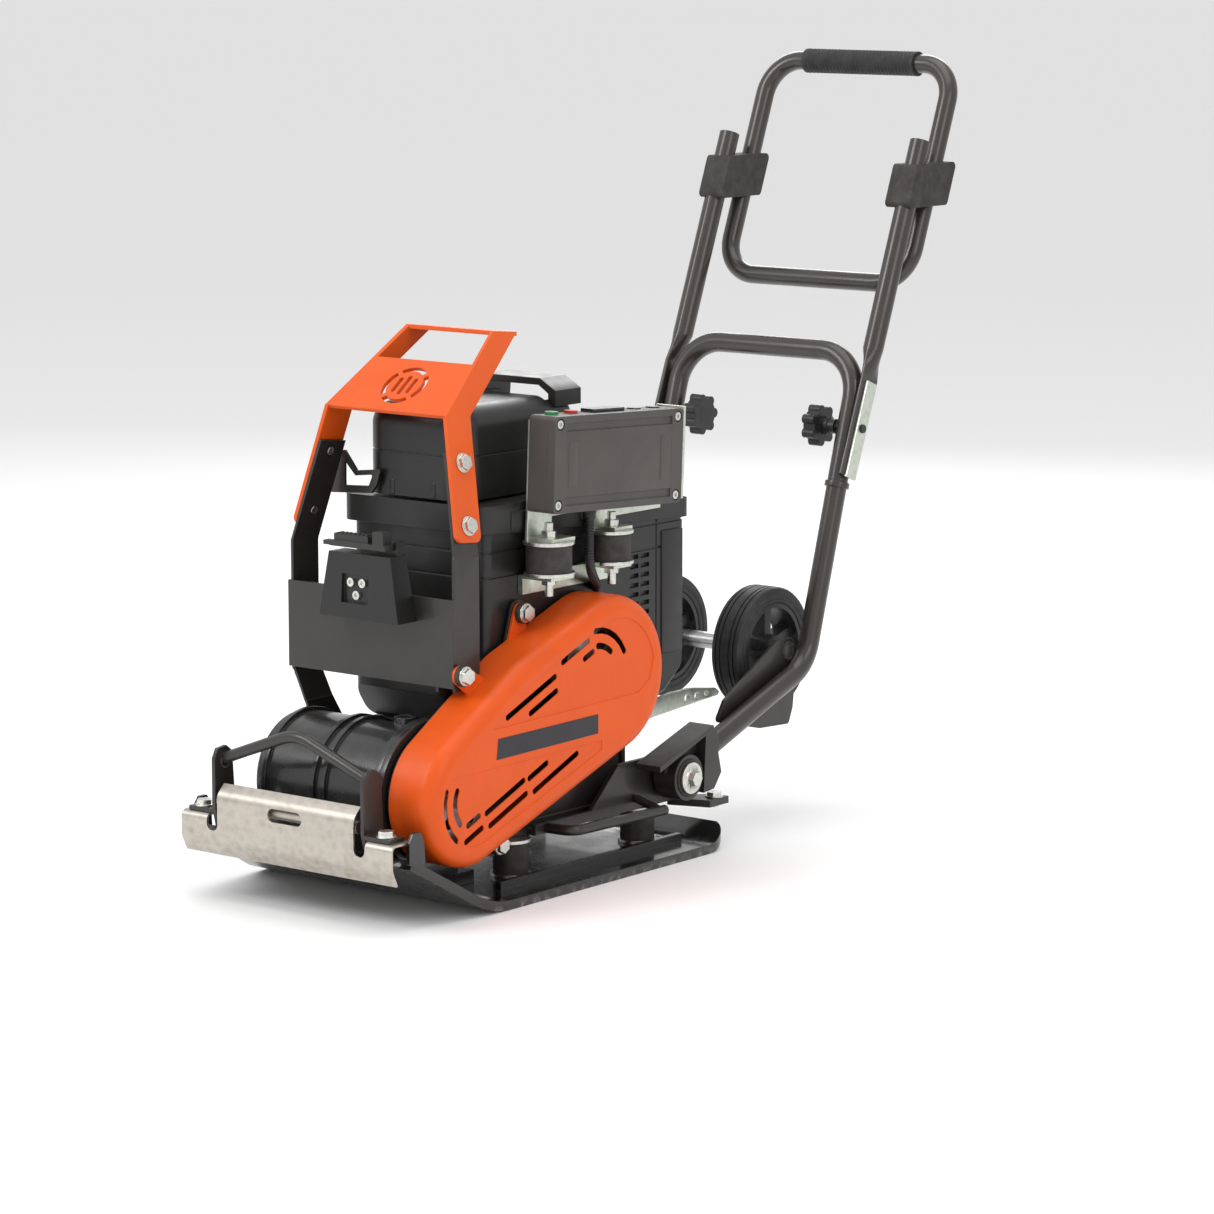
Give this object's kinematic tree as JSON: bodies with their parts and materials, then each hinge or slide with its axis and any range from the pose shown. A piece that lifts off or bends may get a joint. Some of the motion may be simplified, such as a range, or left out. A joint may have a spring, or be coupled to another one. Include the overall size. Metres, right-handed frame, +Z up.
{
  "type": "plate compactor",
  "caption": "Walk-behind battery plate compactor with a flat steel plate, belt-driven exciter, orange lifting handle and folding wheeled push handle.",
  "frame": {"origin": "centre of the flat sole of the base plate", "axes": "+Z up, -Y the way the machine travels, +X towards the belt cover"},
  "size_m": [0.35, 1.0896, 0.9075],
  "materials": {
    "orange_steel": "powder coat, gloss",
    "orange_plastic": "moulded, semi-gloss",
    "black_steel": "black powder coat",
    "base_iron": "black enamel on cast iron",
    "exciter_iron": "black paint on cast iron",
    "guard_stainless": "brushed, scuffed",
    "zinc": "zinc plated",
    "zinc_plate": "zinc plated sheet",
    "machined_steel": "machined",
    "motor_alloy": "cast",
    "rubber": "matt",
    "grip_rubber": "fine ribbed",
    "tyre": "matt",
    "wheel_rim": "moulded",
    "housing_plastic": "fine grained moulding",
    "catch_plastic": "moulded",
    "battery_plastic": "fine grained moulding",
    "box_plastic": "moulded, grey",
    "conduit_plastic": "corrugated",
    "tube_steel": "dark powder coat, semi-gloss",
    "knob_plastic": "moulded",
    "label_print": "plain black band",
    "display_plastic": "smooth",
    "start_green": "smooth",
    "stop_red": "smooth"
  },
  "bodies": {
    "machine": {"lift_handle": "orange_steel", "belt_cover": "orange_plastic", "guard_frame": "black_steel", "bumper_frame": "black_steel", "cable_hook": "black_steel", "deck": "black_steel", "motor_stand": "black_steel", "deck_bar": "black_steel", "cover_backplate": "black_steel", "base_plate": "base_iron", "exciter_housing": "exciter_iron", "exciter_caps": "exciter_iron", "front_guard": "guard_stainless", "sprinkler_pipe": "guard_stainless", "flange_bolts": "zinc", "pivot_bolts": "zinc", "buffer_plates": "zinc", "small_screws": "zinc", "box_bracket": "zinc_plate", "tie_bracket": "zinc_plate", "exciter_bearings": "machined_steel", "motor_case": "motor_alloy", "rubber_buffers": "rubber", "cover_grommets": "rubber", "belt": "rubber", "motor_housing": "housing_plastic", "housing_rim": "housing_plastic", "catch_block": "housing_plastic", "control_box_base": "box_plastic", "control_box_lid": "box_plastic", "conduit": "conduit_plastic", "cover_label": "label_print", "display": "display_plastic"},
    "exciter": {"exciter_shaft": "machined_steel", "eccentric_weights": "machined_steel", "exciter_pulley": "machined_steel"},
    "motor": {"motor_rotor": "machined_steel", "motor_pulley": "machined_steel"},
    "battery": {"battery_pack": "battery_plastic", "battery_grip": "battery_plastic"},
    "catch": {"catch_lever": "catch_plastic"},
    "start_key": {"start_button": "start_green"},
    "stop_key": {"stop_button": "stop_red"},
    "handle": {"handle_bushes": "rubber", "handle_brackets": "black_steel", "lower_handle": "tube_steel", "wheel_brackets": "black_steel", "axle": "machined_steel"},
    "wheel_left": {"tyre_left": "tyre", "rim_left": "wheel_rim"},
    "wheel_right": {"tyre_right": "tyre", "rim_right": "wheel_rim"},
    "upper": {"upper_handle": "tube_steel", "pivot_plates": "zinc_plate", "loop_isolators": "rubber", "grip_loop": "tube_steel", "grip_sleeve": "grip_rubber"},
    "knob_l": {"knob_left": "knob_plastic"},
    "knob_r": {"knob_right": "knob_plastic"}
  },
  "joints": [
    {"name": "motor_spin", "type": "hinge", "parent": "machine", "child": "motor", "pos_m": [0, 0.023, 0.231], "axis": [1, 0, 0], "continuous": true},
    {"name": "exciter_spin", "type": "hinge", "parent": "machine", "child": "exciter", "pos_m": [0, -0.226, 0.128], "axis": [1, 0, 0], "continuous": true},
    {"name": "battery_slide", "type": "slide", "parent": "machine", "child": "battery", "axis": [0, 1, 0], "range_m": [0, 0.15]},
    {"name": "catch_hinge", "type": "hinge", "parent": "machine", "child": "catch", "pos_m": [0.03, -0.2195, 0.396], "axis": [-1, 0, 0], "range_deg": [0, 80]},
    {"name": "start_press", "type": "slide", "parent": "machine", "child": "start_key", "axis": [0, -0.0488, -0.9988], "range_m": [0, 0.003], "stiffness_N_per_m": 800},
    {"name": "stop_press", "type": "slide", "parent": "machine", "child": "stop_key", "axis": [0, -0.0488, -0.9988], "range_m": [0, 0.003], "stiffness_N_per_m": 800},
    {"name": "handle_fold", "type": "hinge", "parent": "machine", "child": "handle", "pos_m": [0, 0.1745, 0.088], "axis": [1, 0, 0], "range_deg": [0, 30]},
    {"name": "wheel_left_spin", "type": "hinge", "parent": "handle", "child": "wheel_left", "pos_m": [-0.078, 0.409, 0.202], "axis": [1, 0, 0], "continuous": true},
    {"name": "wheel_right_spin", "type": "hinge", "parent": "handle", "child": "wheel_right", "pos_m": [0.078, 0.409, 0.202], "axis": [1, 0, 0], "continuous": true},
    {"name": "upper_fold", "type": "hinge", "parent": "handle", "child": "upper", "pos_m": [0, 0.5065, 0.464], "axis": [-1, 0, 0], "range_deg": [0, 110]},
    {"name": "knob_left_turn", "type": "hinge", "parent": "handle", "child": "knob_l", "pos_m": [-0.1, 0.5065, 0.464], "axis": [1, 0, 0], "continuous": true},
    {"name": "knob_right_turn", "type": "hinge", "parent": "handle", "child": "knob_r", "pos_m": [0.1, 0.5065, 0.464], "axis": [1, 0, 0], "continuous": true}
  ],
  "couplings": [
    {"joint": "exciter_spin", "follows": "motor_spin", "ratio": 1.3478}
  ]
}
